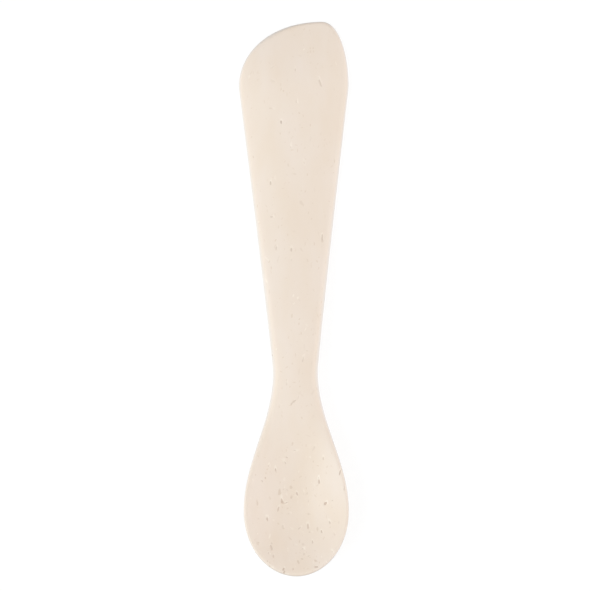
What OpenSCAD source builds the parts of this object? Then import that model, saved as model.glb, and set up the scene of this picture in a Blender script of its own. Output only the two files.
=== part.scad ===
// Child spoon moulded in one piece from pale plant-fibre plastic: a scooped bowl, a slim neck, a
// handle that widens and is crowned on top, and a slanting spreader blade that thins to its end.
// X runs across, Y along from the bowl to the blade, and Z up out of the hollow. The origin is
// halfway along, on the surface that the spoon lies on. All sizes are in millimetres.

/* [Overall] */
// Length from the tip of the bowl to the tip of the blade
spoon_length = 150; // [135:1:175]

/* [Bowl] */
// Width of the bowl at its widest line
bowl_width = 28.5; // [24:0.5:36]
// Distance of the widest line from the tip of the bowl
bowl_nose = 17.5; // [14:0.25:22]
// Depth of the hollow below the rim
bowl_depth = 5.5; // [4:0.25:8]
// Thickness of the floor under the deepest point of the hollow
bowl_floor = 2.4; // [2:0.1:4]
// Thickness of the rounded rim
rim_thickness = 1.8; // [1.4:0.1:3.2]
// Width of the rim outside the hollow
rim_width = 0.4; // [0.2:0.1:1.5]

/* [Neck] */
// Width of the neck at its narrowest line
neck_width = 12; // [9:0.5:16]
// Distance of the narrowest line from the tip of the bowl
neck_position = 55.5; // [48:0.5:64]
// Thickness of the neck in its middle
neck_thickness = 6; // [5:0.1:9]
// Thickness of the rounded edges of the neck
neck_edge = 4; // [3:0.1:5]
// Clear height under the neck when the spoon lies down
neck_lift = 1.2; // [0.5:0.1:4]
// Distance from the narrowest line back to where the hollow runs out
hollow_runout = 7; // [2:0.5:16]

/* [Blade] */
// Width of the blade across its shoulders
blade_width = 29.75; // [24:0.25:36]
// Length of the rounded end beyond the shoulders
blade_length = 17.75; // [13:0.25:24]
// How far the tip stands to the right of the middle
tip_offset = 7.75; // [0:0.25:10]
// Thickness of the middle at the shoulders
shoulder_thickness = 5.4; // [4:0.1:7]
// Thickness of the rounded edges at the shoulders
shoulder_edge = 2.4; // [2:0.1:3.6]
// Thickness of the edge at the tip
blade_edge = 1.5; // [1.2:0.1:2]
// Length of the bevel on top, along the middle
bevel_length = 15.5; // [12:0.5:26]
// Length of the flat underside that the blade end rests on
rest_length = 44; // [28:1:60]

/* [Hidden] */

// How late the handle flares: 1 is a straight taper
handle_flare = 1.06;
// How softly the hollow leaves its rim: 1 is a plain dish with a sharp edge
hollow_softness = 1.2;
// How full the blade's round end is: 2 is a true ellipse
blade_fullness = 2.1;
// How the bevel falls: 1 is flat, less rolls over towards the tip
bevel_roll = 0.95;
// Height over which the crease along the bevel is rounded
crease_softness = 0.7;

// Stations along the spoon, measured from the tip of the bowl
hollow_end = neck_position - hollow_runout;
rest_start = spoon_length - rest_length;
shoulder = spoon_length - blade_length;

// Heights at the stations
rim_height = bowl_depth + bowl_floor;
rim_underside = rim_height - rim_thickness;
neck_bulge = (neck_thickness - neck_edge) / 2;
neck_underside = neck_lift + neck_bulge;
shoulder_crown = shoulder_thickness - shoulder_edge;

// Mesh: points around each section, and sections in each stretch between stations
section_points = 48;
nose_sections = 16;
flank_sections = 22;
handle_sections = 24;
blade_sections = 18;
slope_step = 0.005;

// A soft S-shaped passage from one value to the next between two stations
function ease(s, from, to, start, end) =
    let (t = min(1, max(0, (s - from) / (to - from))))
    start + (end - start) * (1 - cos(180 * t)) / 2;

// The lesser of two heights, with the crease between them rounded
function soft_min(a, b, softness) = (a + b - sqrt((a - b) ^ 2 + softness ^ 2)) / 2;

// How wide a quarter ellipse, or a fuller one, still is at a share of its length
function quarter_round(share, fullness = 2) = max(0, 1 - share ^ fullness) ^ (1 / fullness);

// Half the width of the bowl, neck and handle, up to the shoulders
function body_half_width(s) =
    s < bowl_nose ? bowl_width / 2 * quarter_round((bowl_nose - s) / bowl_nose)
    : s < neck_position ? ease(s, bowl_nose, neck_position, bowl_width, neck_width) / 2
    : let (t = min(1, (s - neck_position) / (shoulder - neck_position)))
      (neck_width + (blade_width - neck_width) * t ^ handle_flare) / 2;

// The outline's two sides: beyond the shoulders, two quarter rounds that meet at the tip
function blade_taper(s) = quarter_round((s - shoulder) / blade_length, blade_fullness);
function left_side(s) =
    s < shoulder ? -body_half_width(s)
    : tip_offset - (blade_width / 2 + tip_offset) * blade_taper(s);
function right_side(s) =
    s < shoulder ? body_half_width(s)
    : tip_offset + (blade_width / 2 - tip_offset) * blade_taper(s);
function middle(s) = (left_side(s) + right_side(s)) / 2;
function half_width(s) = (right_side(s) - left_side(s)) / 2;

// Distance of a point inside the outline from its nearest edge
function edge_distance(x, s) =
    let (q = x - middle(s),
         w = half_width(s),
         widening = (half_width(s + slope_step) - half_width(s - slope_step)) / (2 * slope_step),
         drift = (middle(s + slope_step) - middle(s - slope_step)) / (2 * slope_step))
    max(0, w ^ 2 - q ^ 2) / (2 * max(slope_step, norm([q, w * widening + q * drift])));

// Thickness of the rounded edge, and the height of its underside
function edge_thickness(s) =
    s < neck_position ? ease(s, bowl_nose, neck_position, rim_thickness, neck_edge)
    : s < shoulder ? ease(s, neck_position, shoulder, neck_edge, shoulder_edge)
    : ease(s, shoulder, spoon_length, shoulder_edge, blade_edge);
function edge_underside(s) =
    s < neck_position ? ease(s, bowl_nose, neck_position, rim_underside, neck_underside)
    : ease(s, neck_position, rest_start, neck_underside, 0);

// Roundness of the edge: 0 on the outline, 1 where the round has reached its full height
function edge_round(x, s) = quarter_round(1 - min(1, 2 * edge_distance(x, s) / edge_thickness(s)));

// How far the middle of the underside hangs below its edges
function belly(s) =
    s < bowl_nose ? rim_underside * (1 - ((bowl_nose - s) / bowl_nose) ^ 2)
    : s < neck_position ? ease(s, bowl_nose, neck_position, rim_underside, neck_bulge)
    : ease(s, neck_position, rest_start, neck_bulge, 0);

// How far the middle of the top stands above its edges, were there no bevel
function crown(s) =
    s < neck_position ? ease(s, bowl_nose, neck_position, 0, neck_bulge)
    : ease(s, neck_position, shoulder, neck_bulge, shoulder_crown);

// Room that the bevel leaves above the edges
function bevel_room(s) =
    let (t = max(0, spoon_length - s) / bevel_length)
    blade_edge + (shoulder_thickness - blade_edge) * t ^ bevel_roll - edge_thickness(s);

// Depth of the hollow: a dish inside the rim that runs out as a tapering channel in the neck
function hollow(x, s) =
    let (nose = max(0, bowl_nose - s) / (bowl_nose - rim_width),
         dish = max(0, 1 - nose ^ 2 - (x / (body_half_width(max(s, bowl_nose)) - rim_width)) ^ 2))
    ease(s, bowl_nose, hollow_end, bowl_depth, 0) * dish ^ hollow_softness;

// Heights of the two faces at any point
function arch(x, s) = 1 - ((x - middle(s)) / half_width(s)) ^ 2;
function top(x, s) =
    edge_underside(s) + edge_thickness(s) / 2 * (1 + edge_round(x, s))
    + soft_min(crown(s) * arch(x, s), bevel_room(s), crease_softness) * edge_round(x, s)
    - hollow(x, s);
function underside(x, s) =
    edge_underside(s) + edge_thickness(s) / 2 * (1 - edge_round(x, s)) - belly(s) * arch(x, s);

// One closed section across the spoon, from its right edge over the top and back underneath
function section(s) =
    [for (i = [0 : section_points - 1])
        let (turn = 360 * i / section_points,
             x = middle(s) + half_width(s) * cos(turn))
        [x, s - spoon_length / 2, turn <= 180 ? top(x, s) : underside(x, s)]];

// Stations of the sections, closer together towards the two round ends
stations = concat(
    [for (i = [1 : nose_sections]) bowl_nose * (1 - cos(90 * i / nose_sections))],
    [for (i = [1 : flank_sections]) bowl_nose + (neck_position - bowl_nose) * i / flank_sections],
    [for (i = [1 : handle_sections]) neck_position + (shoulder - neck_position) * i / handle_sections],
    [for (i = [1 : blade_sections - 1]) shoulder + blade_length * sin(90 * i / blade_sections)]);

// The two end points, at mid-height of the edge
bowl_tip = [0, -spoon_length / 2, rim_height - rim_thickness / 2];
blade_tip = [tip_offset, spoon_length / 2, blade_edge / 2];

// The moulded body, skinned over its sections and closed at the two tips
module moulded_body() {
    rings = len(stations);
    skin = [for (s = stations) each section(s)];
    first_tip = len(skin);
    last_tip = first_tip + 1;
    last_ring = (rings - 1) * section_points;
    sides = [for (r = [0 : rings - 2], i = [0 : section_points - 1])
        let (a = r * section_points + i,
             b = r * section_points + (i + 1) % section_points)
        each [[a, b, b + section_points], [a, b + section_points, a + section_points]]];
    bowl_end = [for (i = [0 : section_points - 1]) [first_tip, (i + 1) % section_points, i]];
    blade_end = [for (i = [0 : section_points - 1])
        [last_tip, last_ring + i, last_ring + (i + 1) % section_points]];
    polyhedron(concat(skin, [bowl_tip, blade_tip]), concat(sides, bowl_end, blade_end));
}

module spoon() {
    color([0.93, 0.88, 0.82]) moulded_body();
}

spoon();
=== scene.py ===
# Child spoon moulded in one piece from pale plant-fibre plastic: its finished surface and a plain
# photo studio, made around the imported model. Lengths are in metres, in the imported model's frame:
# X across, Y along from the bowl to the blade, Z up out of the hollow.

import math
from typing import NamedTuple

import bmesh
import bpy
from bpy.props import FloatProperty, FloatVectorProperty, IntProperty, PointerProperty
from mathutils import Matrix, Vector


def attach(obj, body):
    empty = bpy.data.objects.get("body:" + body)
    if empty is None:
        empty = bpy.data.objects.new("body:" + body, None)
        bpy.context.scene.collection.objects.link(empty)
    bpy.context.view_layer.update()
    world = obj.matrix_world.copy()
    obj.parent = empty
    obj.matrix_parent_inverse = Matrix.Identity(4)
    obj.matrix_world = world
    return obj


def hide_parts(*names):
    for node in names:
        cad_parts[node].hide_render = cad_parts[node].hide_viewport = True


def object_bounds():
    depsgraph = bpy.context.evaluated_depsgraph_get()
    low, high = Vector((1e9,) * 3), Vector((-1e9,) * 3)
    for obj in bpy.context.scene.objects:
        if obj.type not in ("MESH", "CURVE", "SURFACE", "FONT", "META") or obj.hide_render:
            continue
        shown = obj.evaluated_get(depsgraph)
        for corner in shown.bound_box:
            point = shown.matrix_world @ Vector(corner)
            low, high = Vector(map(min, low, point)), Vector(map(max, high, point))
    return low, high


bl_info = {
    "name": "Child Spoon",
    "version": (1, 0, 0),
    "blender": (4, 5, 0),
    "location": "View3D > Sidebar > Child Spoon",
    "description": "Models a moulded plant-fibre child spoon and the studio it is photographed in",
    "category": "Object",
}

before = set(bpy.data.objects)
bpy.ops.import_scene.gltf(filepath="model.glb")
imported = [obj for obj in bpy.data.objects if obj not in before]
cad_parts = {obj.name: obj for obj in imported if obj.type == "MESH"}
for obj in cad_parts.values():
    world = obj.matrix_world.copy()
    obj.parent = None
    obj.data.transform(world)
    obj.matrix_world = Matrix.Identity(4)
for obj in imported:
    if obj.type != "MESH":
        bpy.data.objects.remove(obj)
cad_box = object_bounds()

BODY = "root"
NODE = "spoon"

# Sections of the solid that lie closer together than this are one section
SECTION_GAP = 0.00001
# The loft's rings start this many times as tall as the solid, so that they clear it above and below
RING_CLEARANCE = 1.5


def millimetres(name, description, default):
    """A length setting, given in millimetres."""
    return FloatProperty(
        name=name,
        description=description,
        default=default / 1000,
        min=0,
        precision=5,
        subtype="DISTANCE",
        unit="LENGTH",
    )


def share(name, description, default):
    """A setting between nothing and all."""
    return FloatProperty(
        name=name, description=description, default=default, min=0, max=1, subtype="FACTOR"
    )


def colour(name, description, default):
    """A colour setting, in linear light."""
    return FloatVectorProperty(
        name=name, description=description, default=default, min=0, max=1, size=3, subtype="COLOR"
    )


def angle(name, description, default):
    """An angle setting, given in degrees."""
    return FloatProperty(
        name=name,
        description=description,
        default=math.radians(default),
        subtype="ANGLE",
        unit="ROTATION",
    )


class SpoonShape(bpy.types.PropertyGroup):
    """How finely the spoon's surface is modelled."""

    ring_points: IntProperty(
        name="Section points",
        description="Points around each section of the loft, a multiple of four",
        default=48,
        min=24,
        max=64,
        step=4,
    )
    smoothing: IntProperty(
        name="Smoothing",
        description="Subdivision levels of the finished surface",
        default=2,
        min=1,
        max=2,
    )
    parting_line: share("Parting line", "Sharpness of the line between the mould's two halves", 0.5)


class FibrePlastic(bpy.types.PropertyGroup):
    """The pale plastic and the ground straw in it."""

    plastic_colour: colour("Plastic", "Colour of the plastic between the flecks", (0.873, 0.753, 0.657))
    cloud_colour: colour("Clouds", "Colour where straw dust clouds the plastic", (0.853, 0.719, 0.601))
    # Painted sheen: the edge colour stands in for the white surroundings reflected on the rounded edges
    edge_sheen_colour: colour("Edge", "Colour of the skin on the rounded edge", (0.785, 0.728, 0.675))
    dust_colour: colour("Dust flecks", "Colour of the finest, faint flecks", (0.769, 0.625, 0.500))
    pith_colour: colour("Pith flecks", "Colour of the pale flecks", (0.990, 0.885, 0.775))
    stain_colour: colour("Stains", "Colour of straw that shows through the skin", (0.700, 0.560, 0.445))
    straw_colour: colour("Straw flecks", "Colour of the middling, tan flecks", (0.615, 0.475, 0.380))
    husk_colour: colour("Husk flecks", "Colour of the few dark flecks", (0.420, 0.275, 0.205))
    bowl_line: millimetres("Bowl line", "Distance behind the middle where the flecks grow denser", 42)
    dust_length: millimetres("Dust length", "Length of the longest dust flecks", 1.5)
    pith_length: millimetres("Pith length", "Length of the longest pith flecks", 1.6)
    stain_length: millimetres("Stain length", "Length of the longest stains", 2.6)
    straw_length: millimetres("Straw length", "Length of the longest straw flecks", 4)
    husk_length: millimetres("Husk length", "Length of the longest husk flecks", 2.8)
    dust_width: millimetres("Dust width", "Width of the widest dust flecks", 0.5)
    pith_width: millimetres("Pith width", "Width of the widest pith flecks", 0.6)
    stain_width: millimetres("Stain width", "Width of the widest stains", 1)
    straw_width: millimetres("Straw width", "Width of the widest straw flecks", 0.75)
    husk_width: millimetres("Husk width", "Width of the widest husk flecks", 0.85)
    roughness: share("Roughness", "Roughness of the satin surface", 0.46)
    # Painted highlight: the pale pockets are painted light on the wall of each sunken fleck's pit that
    # faces the light
    painted_highlight_share: share("Painted highlights", "Strength of the pale pockets beside the straw and husk flecks", 0.8)
    grain_height: millimetres("Grain height", "Height of the fine moulded grain", 0.006)
    fleck_depth: millimetres("Fleck depth", "How far the flecks have shrunk below the surface", 0.05)


class SpoonStudio(bpy.types.PropertyGroup):
    """Camera, floor and soft light."""

    view_height: millimetres("View height", "Height of the picture at the spoon", 159.86)
    view_y: millimetres("View up", "Distance of the picture's middle beyond the spoon's", 0.9)
    view_lean: angle("View lean", "Turn of the camera about its line of sight", -0.35)
    lens: FloatProperty(
        name="Lens",
        description="Focal length of the camera",
        default=500,
        min=50,
        subtype="DISTANCE_CAMERA",
    )
    floor_size: millimetres("Floor", "Length and width of the floor", 6000)
    sky_light: share("Sky light", "Share of the light that comes from all round", 0.8)
    sky_bias: FloatProperty(
        name="Sky bias",
        description="How much brighter the sky is beside the spoon than overhead, and darker at its ends",
        default=1,
        min=0,
    )
    left_light: share("Left light", "Share of the light that the softbox on the left gives", 0.185)
    left_bearing: angle("Left bearing", "Bearing of the left softbox from the bowl's end", -68)
    left_height: angle("Left height", "Height of the left softbox above the floor", 45)
    left_colour: colour("Left colour", "Colour of the left softbox, a little cool", (0.84, 0.98, 1))
    right_light: share("Right light", "Share of the light that the softbox on the right gives", 0.045)
    right_bearing: angle("Right bearing", "Bearing of the right softbox from the bowl's end", 90)
    right_height: angle("Right height", "Height of the right softbox above the floor", 25)


class Wiring:
    """Adds nodes to a node tree and joins them up."""

    def __init__(self, tree):
        self.tree = tree

    def add(self, kind, inputs=None, **settings):
        """A new node with these settings. An input is a value, or the socket that feeds it."""
        node = self.tree.nodes.new(kind)
        for name, value in settings.items():
            setattr(node, name, value)
        for key, value in (inputs or {}).items():
            self.feed(node.inputs[key], value)
        return node

    def feed(self, socket, value):
        """Sets an input socket to a value, or links it to the socket that feeds it."""
        if isinstance(value, bpy.types.NodeSocket):
            self.tree.links.new(value, socket)
        else:
            socket.default_value = value

    def math(self, operation, *values):
        """The result of an operation on numbers."""
        return self.add("ShaderNodeMath", dict(enumerate(values)), operation=operation).outputs[0]

    def vector(self, operation, *values):
        """The result of an operation on vectors."""
        node = self.add("ShaderNodeVectorMath", dict(enumerate(values)), operation=operation)
        return node.outputs["Value" if operation == "LENGTH" else "Vector"]

    def ramp(self, value, start, end, first, last, interpolation="LINEAR"):
        """A passage from first to last while the value goes from start to end."""
        inputs = {"Value": value, "From Min": start, "From Max": end, "To Min": first, "To Max": last}
        node = self.add("ShaderNodeMapRange", inputs, interpolation_type=interpolation)
        return node.outputs["Result"]

    def noise(self, place, size, detail):
        """Soft noise whose waves are about this long."""
        inputs = {"Vector": place, "Scale": 1 / size, "Detail": detail}
        return self.add("ShaderNodeTexNoise", inputs).outputs["Fac"]

    def blend(self, factor, below, above):
        """One colour laid over another."""
        # The node has sockets of the same names for numbers, so its colour sockets are taken by their place
        return self.add("ShaderNodeMix", {0: factor, 6: below, 7: above}, data_type="RGBA").outputs[2]


def opaque(rgb):
    """A colour with full alpha."""
    return (*rgb, 1)


# Straw flecks: rods strewn in a space that is squeezed along Y and Z, which leaves each of them room
FLECK_ROOM = (1, 0.6, 0.5)
# A layer's seed moves its rods by this many metres for each count
SEED_STEP = (0.13, 0.17, 0.11)
# How far the rods stand from an even grid: 0 is on it, 1 is anywhere
SCATTER = 0.9
# How seldom a rod strays from the flow, and how seldom it is long: 1 is even chances
STRAY_POWER = 2.2
LENGTH_POWER = 1.2
# The shortest and the narrowest rod, as shares of the longest and the widest
SHORTEST = 0.4
NARROWEST = 0.5
# A chance times this leaves a second chance behind its decimal point
SECOND_CHANCE = 7.3
# A rod's outline is ragged and soft: it fades between these shares of the rod's half size
RAGGED_SIZE = 0.0006
RAGGED_AMOUNT = 1.3
ROD_FADE = (0.5, 1)
# Painted highlight beside a rod, on the wall of its sunken pit that faces the light: how far it takes to
# set in, and the shares between which it fades
HIGHLIGHT_SIZE = 0.0004
HIGHLIGHT_FADE = (0.9, 2)
# Half the length over which the handle's share of rods passes into the bowl's
BOWL_BLEND = 0.004
# Clumps of rods: between these levels of the noise, the share of the rods goes from few to many
CLUMP_SIZE = 0.008
CLUMP_NOISE = (0.35, 0.65)
CLUMP_SHARE = (0.1, 1.9)
# Between these distances from the middle line, the share of the rods falls off
MIDSTREAM = (0.005, 0.014)
MIDSTREAM_SHARE = (1.35, 0)
# How fast rods grow fainter with their depth, and the faintest one's tone
DEPTH_POWER = 0.6
FAINTEST = 0.2

FLECK_VALUES = (
    "Spacing",
    "Length",
    "Width",
    "Handle Share",
    "Bowl Share",
    "Handle Tone",
    "Bowl Line",
    "Seed",
)


def straw_fleck_group():
    """Shader node group: short rods strewn in the plastic, which show where the surface cuts them, each
    with a painted highlight beside it.
    """
    group = bpy.data.node_groups.new("straw_flecks", "ShaderNodeTree")
    group.interface.new_socket("Place", in_out="INPUT", socket_type="NodeSocketVector")
    for name in FLECK_VALUES:
        group.interface.new_socket(name, in_out="INPUT", socket_type="NodeSocketFloat")
    for name in ("Mask", "Tone", "Painted Highlight"):
        group.interface.new_socket(name, in_out="OUTPUT", socket_type="NodeSocketFloat")
    wiring = Wiring(group)
    given = wiring.add("NodeGroupInput").outputs

    # One rod in each cell of the strewn space
    squeezed = wiring.vector("MULTIPLY", given["Place"], FLECK_ROOM)
    strewn = wiring.vector("ADD", squeezed, wiring.vector("MULTIPLY", SEED_STEP, given["Seed"]))
    fineness = wiring.math("DIVIDE", 1, given["Spacing"])
    cell_inputs = {"Vector": strewn, "Scale": fineness, "Randomness": SCATTER}
    cells = wiring.add("ShaderNodeTexVoronoi", cell_inputs, feature="F1").outputs
    strewn_from_core = wiring.vector("SUBTRACT", strewn, cells["Position"])
    from_core = wiring.vector("DIVIDE", strewn_from_core, FLECK_ROOM)
    chance = wiring.add("ShaderNodeSeparateColor", {"Color": cells["Color"]}).outputs

    # Most of the rods lie along the flow, which runs along the spoon, and some lie across it
    swing = wiring.ramp(chance["Red"], 0, 1, -1, 1)
    strayed = wiring.math("POWER", wiring.math("ABSOLUTE", swing), STRAY_POWER)
    quarter_turns = wiring.math("MULTIPLY", wiring.math("SIGN", swing), strayed)
    turn_inputs = {"Vector": from_core, "Angle": wiring.math("MULTIPLY", quarter_turns, math.pi / 2)}
    turned = wiring.add("ShaderNodeVectorRotate", turn_inputs, rotation_type="Z_AXIS")

    # Shorter rods come a little more often than longer ones
    longness = wiring.math("POWER", chance["Green"], LENGTH_POWER)
    length_share = wiring.ramp(longness, 0, 1, SHORTEST / 2, 1 / 2)
    half_length = wiring.math("MULTIPLY", given["Length"], length_share)
    wideness = wiring.math("FRACT", wiring.math("MULTIPLY", chance["Green"], SECOND_CHANCE))
    width_share = wiring.ramp(wideness, 0, 1, NARROWEST / 2, 1 / 2)
    half_width = wiring.math("MULTIPLY", given["Width"], width_share)
    rod_inputs = {"X": half_width, "Y": half_length, "Z": half_width}
    rod = wiring.add("ShaderNodeCombineXYZ", rod_inputs).outputs["Vector"]
    even_reach = wiring.vector("LENGTH", wiring.vector("DIVIDE", turned.outputs["Vector"], rod))
    raggedness = wiring.noise(strewn, RAGGED_SIZE, detail=1)
    ragged = wiring.ramp(raggedness, 0, 1, -RAGGED_AMOUNT / 2, RAGGED_AMOUNT / 2)
    reach = wiring.math("ADD", even_reach, ragged)
    inside = wiring.ramp(reach, *ROD_FADE, 1, 0, "SMOOTHSTEP")

    # Painted highlight on one side of each rod, towards the blade's right, where the wall of its sunken pit
    # faces the light from the lower left
    offset = wiring.add("ShaderNodeSeparateXYZ", {"Vector": from_core}).outputs
    lit_wall_side = wiring.ramp(wiring.math("ADD", offset["X"], offset["Y"]), 0, HIGHLIGHT_SIZE, 0, 1)
    around = wiring.math("SUBTRACT", wiring.ramp(reach, *HIGHLIGHT_FADE, 1, 0, "SMOOTHSTEP"), inside)
    highlight_beside = wiring.math("MULTIPLY", wiring.math("MAXIMUM", around, 0), lit_wall_side)

    # The bowl holds a greater share of the rods than the handle
    core = wiring.vector("SUBTRACT", given["Place"], from_core)
    core_place = wiring.add("ShaderNodeSeparateXYZ", {"Vector": core}).outputs
    past_line = wiring.math("ADD", core_place["Y"], given["Bowl Line"])
    in_bowl = wiring.ramp(past_line, BOWL_BLEND, -BOWL_BLEND, 0, 1)
    even_share = wiring.ramp(in_bowl, 0, 1, given["Handle Share"], given["Bowl Share"])

    # They come in clumps, and most of them ran down the middle of the mould
    clumped = wiring.ramp(wiring.noise(core, CLUMP_SIZE, detail=1), *CLUMP_NOISE, *CLUMP_SHARE)
    midstream = wiring.ramp(wiring.math("ABSOLUTE", core_place["X"]), *MIDSTREAM, *MIDSTREAM_SHARE)
    kept_share = wiring.math("MULTIPLY", even_share, wiring.math("MULTIPLY", clumped, midstream))
    kept = wiring.math("LESS_THAN", chance["Blue"], kept_share)
    rank = wiring.math("DIVIDE", chance["Blue"], kept_share)

    # Those that lie deeper under the skin show more faintly, and on the handle more of them do
    darkest = wiring.ramp(in_bowl, 0, 1, given["Handle Tone"], 1)
    fading = wiring.ramp(wiring.math("POWER", rank, DEPTH_POWER), 0, 1, 1, FAINTEST)
    tone = wiring.math("MULTIPLY", darkest, fading)
    results = {
        "Mask": wiring.math("MULTIPLY", inside, kept),
        "Tone": tone,
        "Painted Highlight": wiring.math("MULTIPLY", wiring.math("MULTIPLY", highlight_beside, kept), tone),
    }
    wiring.add("NodeGroupOutput", results)
    return group


class FleckLayer(NamedTuple):
    """How closely one kind of fleck is strewn, what share of it is there, and its tone on the handle."""

    kind: str
    spacing: float
    handle_share: float
    bowl_share: float
    handle_tone: float
    seed: int


DUST = FleckLayer("dust", 0.0009, handle_share=0.9, bowl_share=1.0, handle_tone=0.75, seed=1)
STAIN = FleckLayer("stain", 0.0018, handle_share=0.4, bowl_share=1.0, handle_tone=0.4, seed=5)
PITH = FleckLayer("pith", 0.0016, handle_share=0.15, bowl_share=0.4, handle_tone=0.8, seed=4)
STRAW = FleckLayer("straw", 0.0014, handle_share=0.07, bowl_share=0.95, handle_tone=0.6, seed=13)
HUSK = FleckLayer("husk", 0.0021, handle_share=0.08, bowl_share=0.17, handle_tone=0.9, seed=31)


def fleck_masks(wiring, place, group, finish, layer):
    """Where one layer's flecks are, how strongly they colour the surface there, and the painted highlights
    beside them.
    """
    inputs = {
        "Place": place,
        "Spacing": layer.spacing,
        "Length": getattr(finish, layer.kind + "_length"),
        "Width": getattr(finish, layer.kind + "_width"),
        "Handle Share": layer.handle_share,
        "Bowl Share": layer.bowl_share,
        "Handle Tone": layer.handle_tone,
        "Bowl Line": finish.bowl_line,
        "Seed": layer.seed,
    }
    flecks = wiring.add("ShaderNodeGroup", inputs, node_tree=group).outputs
    strength = wiring.math("MULTIPLY", flecks["Mask"], flecks["Tone"])
    return flecks["Mask"], strength, flecks["Painted Highlight"]


# Clouds and grain of the plastic: the melt drew them out along the spoon
FLOW_STRETCH = (1, 0.45, 1)
CLOUD_SIZE = 0.007
GRAIN_SIZE = 0.0005
# The levels of the noise between which most of it lies
NOISE_SPAN = (0.3, 0.7)
ROUGHNESS_SPREAD = 0.05
# Painted sheen: the surface is painted greyer where it turns from level (1) to upright (0), in place of the
# white surroundings that the rounded edge reflects
SHEEN_TURN = (0.72, 0.35)


def fibre_plastic(finish):
    """Satin, pale plastic with straw dust, tan straw flecks and a few dark husk flecks, with painted sheen
    on the rounded edges and painted highlights beside the flecks.
    """
    material = bpy.data.materials.new("fibre_plastic")
    material.use_nodes = True
    tree = material.node_tree
    shader = tree.nodes["Principled BSDF"]
    wiring = Wiring(tree)
    coordinates = wiring.add("ShaderNodeTexCoord").outputs
    place = coordinates["Object"]
    group = straw_fleck_group()

    flow = wiring.vector("MULTIPLY", place, FLOW_STRETCH)
    clouds = wiring.ramp(wiring.noise(flow, CLOUD_SIZE, detail=3), *NOISE_SPAN, 0, 1)
    surface = wiring.blend(clouds, opaque(finish.plastic_colour), opaque(finish.cloud_colour))
    # Painted sheen: the rounded edges turn to the edge colour by their tilt, in place of the white
    # surroundings they reflect
    facing = wiring.add("ShaderNodeSeparateXYZ", {"Vector": coordinates["Normal"]}).outputs["Z"]
    edge = wiring.ramp(wiring.math("ABSOLUTE", facing), *SHEEN_TURN, 0, 1)
    surface = wiring.blend(edge, surface, opaque(finish.edge_sheen_colour))
    masks = {}
    for layer in (STAIN, DUST, PITH, STRAW, HUSK):
        masks[layer], strength, painted_highlight = fleck_masks(wiring, place, group, finish, layer)
        if layer in (STRAW, HUSK):
            # Painted highlight beside the straw and husk flecks, in the pith colour
            highlight_strength = wiring.math("MULTIPLY", painted_highlight, finish.painted_highlight_share)
            surface = wiring.blend(highlight_strength, surface, opaque(finish.pith_colour))
        surface = wiring.blend(strength, surface, opaque(getattr(finish, layer.kind + "_colour")))
    tree.links.new(surface, shader.inputs["Base Color"])

    flecks = wiring.math("MAXIMUM", masks[STRAW], masks[HUSK])
    grain = wiring.noise(flow, GRAIN_SIZE, detail=2)
    smoothest = finish.roughness - ROUGHNESS_SPREAD
    roughest = finish.roughness + ROUGHNESS_SPREAD
    roughness = wiring.ramp(grain, *NOISE_SPAN, smoothest, roughest)
    rougher = wiring.math("MULTIPLY_ADD", flecks, 2 * ROUGHNESS_SPREAD, roughness)
    tree.links.new(rougher, shader.inputs["Roughness"])

    sunk = wiring.math("MULTIPLY", flecks, -finish.fleck_depth)
    height = wiring.math("MULTIPLY_ADD", grain, finish.grain_height, sunk)
    bump = wiring.add("ShaderNodeBump", {"Height": height, "Distance": 1, "Strength": 1})
    tree.links.new(bump.outputs["Normal"], shader.inputs["Normal"])
    return material


class Section:
    """One section across the solid: its middle and its half width."""

    def __init__(self, points):
        left = min(points, key=lambda point: point.x)
        right = max(points, key=lambda point: point.x)
        self.middle = (left + right) / 2
        self.half_width = (right.x - left.x) / 2


def sections_of_solid():
    """The solid's sections from the bowl to the blade. The first and the last are its two tips."""
    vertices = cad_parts[NODE].data.vertices
    points = sorted((vertex.co.copy() for vertex in vertices), key=lambda point: point.y)
    rows = [[points[0]]]
    for point in points[1:]:
        if point.y - rows[-1][-1].y > SECTION_GAP:
            rows.append([])
        rows[-1].append(point)
    return [Section(row) for row in rows]


def deselect_all():
    """Leaves nothing selected in object mode."""
    bpy.ops.object.select_all(action="DESELECT")


def select_point(body, place):
    """Selects the one point of the mesh in edit mode that lies nearest to a place."""
    bpy.ops.mesh.select_all(action="DESELECT")
    mesh = bmesh.from_edit_mesh(body.data)
    nearest = min(mesh.verts, key=lambda vertex: (vertex.co - place).length_squared)
    nearest.select_set(True)
    bmesh.update_edit_mesh(body.data)


def select_parting_line(body):
    """Selects the edges along which the faces turn from looking up to looking down."""
    bpy.ops.mesh.select_all(action="DESELECT")
    bpy.ops.mesh.select_mode(type="EDGE")
    mesh = bmesh.from_edit_mesh(body.data)
    for edge in mesh.edges:
        looking_up = [face.normal.z > 0 for face in edge.link_faces]
        edge.select_set(any(looking_up) and not all(looking_up))
    bmesh.update_edit_mesh(body.data)


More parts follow.
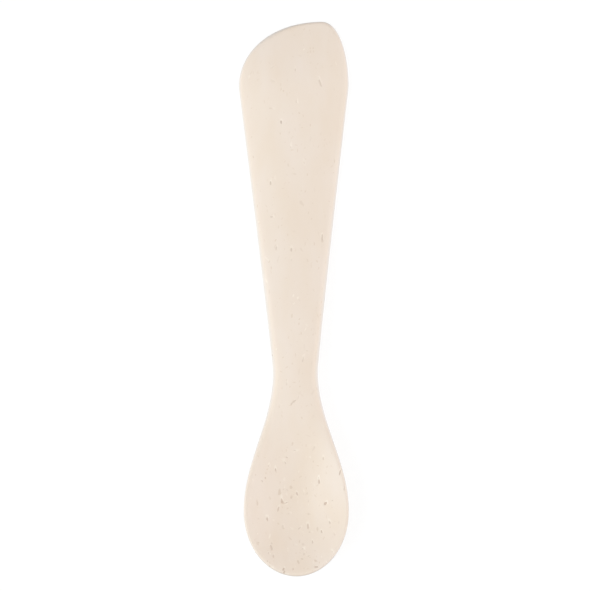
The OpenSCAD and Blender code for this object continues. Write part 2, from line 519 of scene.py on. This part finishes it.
def loft_rings(sections, ring_points):
    """A closed tube of tall rings, drawn out from section to section and pointed at both tips."""
    first_tip, *rings, last_tip = sections
    tall = RING_CLEARANCE * (cad_box[1].z - cad_box[0].z)
    first = rings[0]
    bpy.ops.mesh.primitive_circle_add(
        vertices=ring_points,
        radius=first.half_width,
        fill_type="TRIFAN",
        location=first.middle,
        rotation=(math.pi / 2, 0, 0),
    )
    body = bpy.context.object
    bpy.ops.object.transform_apply(location=True, rotation=True, scale=True)
    bpy.ops.object.mode_set(mode="EDIT")
    bpy.ops.mesh.select_mode(type="VERT")
    bpy.ops.mesh.select_all(action="SELECT")
    bpy.ops.transform.resize(value=(1, 1, tall / first.half_width), center_override=first.middle)
    for last, ring in zip(rings, rings[1:]):
        bpy.ops.mesh.extrude_region_move(TRANSFORM_OT_translate={"value": ring.middle - last.middle})
        widening = ring.half_width / last.half_width
        bpy.ops.transform.resize(value=(widening, 1, 1), center_override=ring.middle)
    for ring, tip in ((rings[0], first_tip), (rings[-1], last_tip)):
        select_point(body, ring.middle)
        bpy.ops.transform.translate(value=tip.middle - ring.middle)
    bpy.ops.mesh.select_all(action="SELECT")
    bpy.ops.mesh.normals_make_consistent(inside=False)
    bpy.ops.object.mode_set(mode="OBJECT")
    return body


def check_wrapped(body):
    """Stops the script if a point of the loft found no solid above or below it."""
    heights = [vertex.co.z for vertex in body.data.vertices]
    if min(heights) < cad_box[0].z - SECTION_GAP or max(heights) > cad_box[1].z + SECTION_GAP:
        raise RuntimeError("The loft missed the packed solid")


def apply_modifier(body, kind, **settings):
    """Adds a modifier to the active object and applies it."""
    bpy.ops.object.modifier_add(type=kind)
    modifier = body.modifiers[-1]
    for name, value in settings.items():
        setattr(modifier, name, value)
    bpy.ops.object.modifier_apply(modifier=modifier.name)


class CHILDSPOON_OT_spoon(bpy.types.Operator):
    """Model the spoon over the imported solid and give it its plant-fibre plastic"""

    bl_idname = "child_spoon.model_spoon"
    bl_label = "Model Spoon"
    bl_options = {"REGISTER", "UNDO"}

    def execute(self, context):
        shape = context.scene.spoon_shape
        deselect_all()
        body = loft_rings(sections_of_solid(), shape.ring_points)
        body.name = "spoon_body"
        body.data.name = "spoon_body"
        apply_modifier(
            body,
            "SHRINKWRAP",
            target=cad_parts[NODE],
            wrap_method="PROJECT",
            use_project_z=True,
            use_positive_direction=True,
            use_negative_direction=True,
        )
        check_wrapped(body)
        bpy.ops.object.mode_set(mode="EDIT")
        bpy.ops.mesh.select_all(action="SELECT")
        bpy.ops.mesh.normals_make_consistent(inside=False)
        select_parting_line(body)
        bpy.ops.transform.edge_crease(value=shape.parting_line)
        bpy.ops.object.mode_set(mode="OBJECT")
        apply_modifier(body, "SUBSURF", levels=shape.smoothing, render_levels=shape.smoothing)
        bpy.ops.object.shade_smooth()
        body.data.materials.append(fibre_plastic(context.scene.fibre_plastic))
        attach(body, BODY)
        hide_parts(NODE)
        return {"FINISHED"}


# The floor's glow and its lit share add up to white, and a shadow still shows
FLOOR_GLOW = 0.82
FLOOR_SHARE = 0.22
FLOOR_CLEARANCE = 0.00005
WHITE = (1, 1, 1, 1)
SOFTBOX_DISTANCE = 0.9
SOFTBOX_SIZE = 0.5


def seen_directly(wiring):
    """1 for rays that show the background itself: from the camera, in gloss and through glass."""
    rays = wiring.add("ShaderNodeLightPath").outputs
    seen = wiring.math("MAXIMUM", rays["Is Camera Ray"], rays["Is Glossy Ray"])
    return wiring.math("MAXIMUM", seen, rays["Is Transmission Ray"])


def mix_shaders(wiring, factor, first, second):
    """A mix of two shaders."""
    return wiring.add("ShaderNodeMixShader", {0: factor, 1: first, 2: second}).outputs[0]


def white_floor():
    """White floor with a faint shadow, which shows from above and lets light from below through."""
    material = bpy.data.materials.new("studio_floor")
    material.use_nodes = True
    tree = material.node_tree
    tree.nodes.clear()
    wiring = Wiring(tree)
    glow = wiring.add("ShaderNodeEmission", {"Color": WHITE, "Strength": FLOOR_GLOW}).outputs[0]
    lit_colour = (FLOOR_SHARE, FLOOR_SHARE, FLOOR_SHARE, 1)
    lit = wiring.add("ShaderNodeBsdfDiffuse", {"Color": lit_colour}).outputs[0]
    floor = wiring.add("ShaderNodeAddShader", {0: glow, 1: lit}).outputs[0]
    clear = wiring.add("ShaderNodeBsdfTransparent").outputs[0]
    from_below = wiring.add("ShaderNodeNewGeometry").outputs["Backfacing"]
    shown = wiring.math("MULTIPLY", seen_directly(wiring), wiring.math("SUBTRACT", 1, from_below))
    wiring.add("ShaderNodeOutputMaterial", {"Surface": mix_shaders(wiring, shown, clear, floor)})
    return material


def white_sky(strength, bias):
    """World that lights the spoon more from its sides than from its ends, and shows white."""
    world = bpy.data.worlds.new("studio_sky")
    world.use_nodes = True
    tree = world.node_tree
    tree.nodes.clear()
    wiring = Wiring(tree)
    direction = wiring.add("ShaderNodeTexCoord").outputs["Generated"]
    along = wiring.add("ShaderNodeSeparateXYZ", {"Vector": direction}).outputs
    endwards = wiring.math("MULTIPLY", along["Y"], along["Y"])
    sideways = wiring.math("SUBTRACT", wiring.math("MULTIPLY", along["X"], along["X"]), endwards)
    uneven = wiring.math("MAXIMUM", wiring.math("MULTIPLY_ADD", sideways, strength * bias, strength), 0)
    lighting = wiring.add("ShaderNodeBackground", {"Color": WHITE, "Strength": uneven}).outputs[0]
    shown = wiring.add("ShaderNodeBackground", {"Color": WHITE, "Strength": 1}).outputs[0]
    sky = mix_shaders(wiring, seen_directly(wiring), lighting, shown)
    wiring.add("ShaderNodeOutputWorld", {"Surface": sky})
    return world


def softbox(name, bearing, height, light_share):
    """Lamp aimed at the spoon. Its power gives that share of the light on a level surface."""
    level = math.cos(height)
    towards = Vector((math.sin(bearing) * level, -math.cos(bearing) * level, math.sin(height)))
    aim = towards.to_track_quat("Z", "Y").to_euler()
    bpy.ops.object.light_add(type="AREA", location=towards * SOFTBOX_DISTANCE, rotation=aim)
    lamp = bpy.context.object
    lamp.name = name
    lamp.data.size = SOFTBOX_SIZE
    lamp.data.energy = light_share * math.pi**2 * SOFTBOX_DISTANCE**2 / math.sin(height)
    return lamp.data


class CHILDSPOON_OT_studio(bpy.types.Operator):
    """Set the spoon on a white floor in soft light, seen from straight above"""

    bl_idname = "child_spoon.set_studio"
    bl_label = "Set Studio"
    bl_options = {"REGISTER", "UNDO"}

    def execute(self, context):
        scene = context.scene
        studio = scene.spoon_studio
        deselect_all()
        bpy.ops.mesh.primitive_plane_add(size=studio.floor_size, location=(0, 0, -FLOOR_CLEARANCE))
        floor = bpy.context.object
        floor.name = "studio_floor"
        floor.data.materials.append(white_floor())

        scene.world = white_sky(studio.sky_light, studio.sky_bias)
        left = softbox("left_softbox", studio.left_bearing, studio.left_height, studio.left_light)
        left.color = studio.left_colour
        softbox("right_softbox", studio.right_bearing, studio.right_height, studio.right_light)

        middle_height = (cad_box[0].z + cad_box[1].z) / 2
        bpy.ops.object.camera_add(rotation=(0, 0, studio.view_lean))
        camera = bpy.context.object
        camera.name = "photo_camera"
        camera.data.lens = studio.lens
        distance = studio.view_height * studio.lens / camera.data.sensor_width
        camera.location = (0, studio.view_y, middle_height + distance)
        scene.camera = camera
        scene.view_settings.view_transform = "Standard"
        return {"FINISHED"}


class CHILDSPOON_PT_panel(bpy.types.Panel):
    """Sidebar panel with the spoon's settings and its two steps"""

    bl_idname = "CHILDSPOON_PT_panel"
    bl_label = "Child Spoon"
    bl_space_type = "VIEW_3D"
    bl_region_type = "UI"
    bl_category = "Child Spoon"

    def draw(self, context):
        scene = context.scene
        steps = (
            (CHILDSPOON_OT_spoon, (scene.spoon_shape, scene.fibre_plastic)),
            (CHILDSPOON_OT_studio, (scene.spoon_studio,)),
        )
        for operator, groups in steps:
            box = self.layout.box()
            for group in groups:
                for name in group.__annotations__:
                    box.prop(group, name)
            box.operator(operator.bl_idname)


SETTINGS = {"spoon_shape": SpoonShape, "fibre_plastic": FibrePlastic, "spoon_studio": SpoonStudio}
CLASSES = (*SETTINGS.values(), CHILDSPOON_OT_spoon, CHILDSPOON_OT_studio, CHILDSPOON_PT_panel)


def register():
    """Registers the classes and hangs the settings on the scene."""
    for each_class in CLASSES:
        bpy.utils.register_class(each_class)
    for name, group in SETTINGS.items():
        setattr(bpy.types.Scene, name, PointerProperty(type=group))


def unregister():
    """Takes the settings and the classes away again."""
    for name in SETTINGS:
        delattr(bpy.types.Scene, name)
    for each_class in reversed(CLASSES):
        bpy.utils.unregister_class(each_class)


def main():
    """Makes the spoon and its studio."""
    register()
    bpy.ops.child_spoon.model_spoon()
    bpy.ops.child_spoon.set_studio()


if __name__ == "__main__":
    main()
